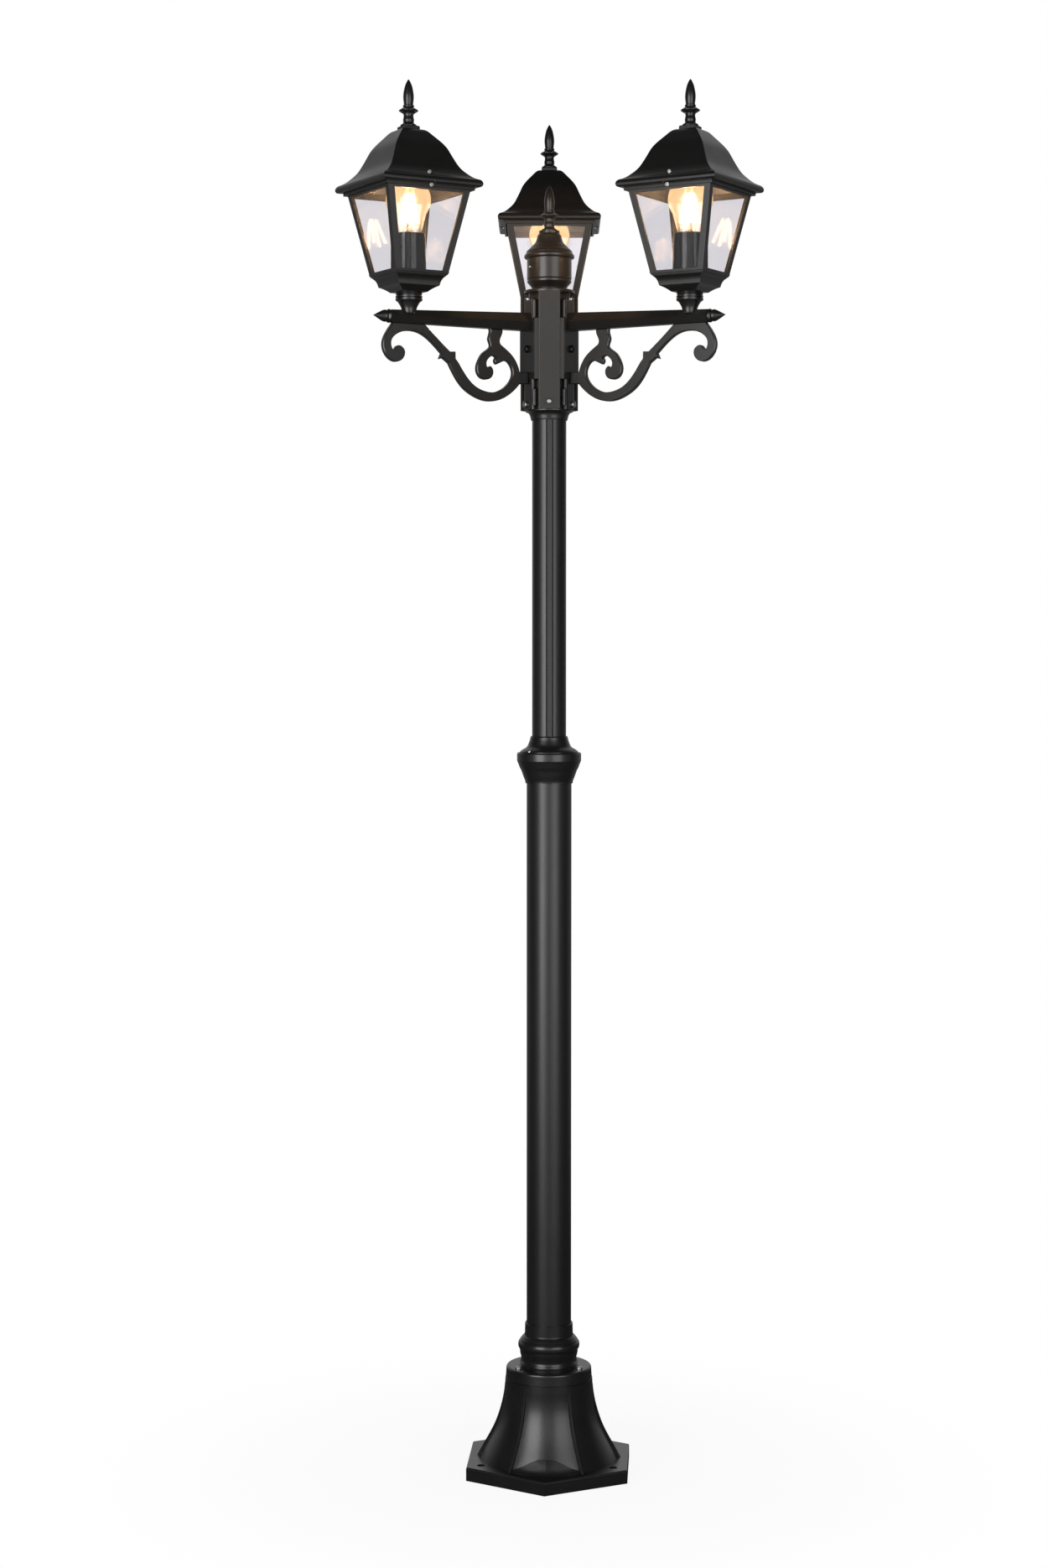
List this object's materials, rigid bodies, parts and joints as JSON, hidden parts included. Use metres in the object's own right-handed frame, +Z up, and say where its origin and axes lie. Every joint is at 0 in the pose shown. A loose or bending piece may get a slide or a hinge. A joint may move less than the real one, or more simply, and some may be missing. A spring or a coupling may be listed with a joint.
{
  "type": "lamp post",
  "caption": "Black cast lamp post with a bell base, stepped tube pole, scroll arms around a hub, and square tapered lanterns with lift-off roofs and glass panes.",
  "frame": {"origin": "on the pole's axis at ground level, in the centre of the anchor bolt circle", "axes": "+Z up along the pole, -Y to the front, where the left and right lanterns stand forward, +X to the right"},
  "size_m": [0.5876, 0.509, 1.945],
  "materials": {
    "black_coat": "satin black powder coat on cast aluminium",
    "black_tube": "satin black powder coat on steel tube",
    "black_steel": "black oxide",
    "zinc": "zinc plated",
    "pane_glass": "clear flat glass",
    "bulb_glass": "clear blown glass",
    "nickel": "nickel plated",
    "holder_plastic": "gloss black moulding",
    "terminal_plastic": "off-white moulding",
    "cable_sheath": "matt cable sheath",
    "rubber": "matt rubber"
  },
  "bodies": {
    "post": {"base_casting": "black_coat", "base_screws": "zinc", "base_collar": "black_coat", "cable_grommet": "rubber", "supply_connector": "terminal_plastic", "lower_tube": "black_tube", "mid_collar_cup": "black_coat", "mid_collar_ring": "black_coat", "mid_collar_screws": "zinc", "upper_tube": "black_tube", "hub_ring": "black_coat", "hub_core": "black_coat", "strip_screws": "zinc", "hub_screws": "zinc", "hub_bolts": "black_steel", "hub_cover_socket": "black_coat", "hub_cap": "black_coat", "terminal_block": "terminal_plastic", "supply_cable": "cable_sheath", "head_leads": "cable_sheath", "cap_finial": "black_coat", "hub_strip_1": "black_coat", "hub_strip_2": "black_coat", "hub_strip_3": "black_coat", "arm_left": "black_coat", "arm_tip_left": "black_coat", "scroll_left": "black_coat", "neck_left": "black_coat", "lantern_frame_left": "black_coat", "glass_panes_left": "pane_glass", "lampholder_left": "holder_plastic", "arm_right": "black_coat", "arm_tip_right": "black_coat", "scroll_right": "black_coat", "neck_right": "black_coat", "lantern_frame_right": "black_coat", "glass_panes_right": "pane_glass", "lampholder_right": "holder_plastic", "arm_back": "black_coat", "arm_tip_back": "black_coat", "scroll_back": "black_coat", "neck_back": "black_coat", "lantern_frame_back": "black_coat", "glass_panes_back": "pane_glass", "lampholder_back": "holder_plastic"},
    "roof_left": {"roof_left": "black_coat", "roof_screws_left": "zinc", "finial_left": "black_coat"},
    "bulb_left": {"bulb_cap_left": "nickel", "bulb_glass_left": "bulb_glass"},
    "roof_right": {"roof_right": "black_coat", "roof_screws_right": "zinc", "finial_right": "black_coat"},
    "bulb_right": {"bulb_cap_right": "nickel", "bulb_glass_right": "bulb_glass"},
    "roof_back": {"roof_back": "black_coat", "roof_screws_back": "zinc", "finial_back": "black_coat"},
    "bulb_back": {"bulb_cap_back": "nickel", "bulb_glass_back": "bulb_glass"}
  },
  "joints": [
    {"name": "roof_lift_left", "type": "slide", "parent": "post", "child": "roof_left", "axis": [0, 0, 1], "range_m": [0, 0.08]},
    {"name": "bulb_turn_left", "type": "hinge", "parent": "post", "child": "bulb_left", "pos_m": [-0.19139, -0.1105, 1.72], "axis": [0, 0, 1], "range_deg": [0, 1260]},
    {"name": "roof_lift_right", "type": "slide", "parent": "post", "child": "roof_right", "axis": [0, 0, 1], "range_m": [0, 0.08]},
    {"name": "bulb_turn_right", "type": "hinge", "parent": "post", "child": "bulb_right", "pos_m": [0.19139, -0.1105, 1.72], "axis": [0, 0, 1], "range_deg": [0, 1260]},
    {"name": "roof_lift_back", "type": "slide", "parent": "post", "child": "roof_back", "axis": [0, 0, 1], "range_m": [0, 0.08]},
    {"name": "bulb_turn_back", "type": "hinge", "parent": "post", "child": "bulb_back", "pos_m": [0, 0.221, 1.72], "axis": [0, 0, 1], "range_deg": [0, 1260]}
  ]
}
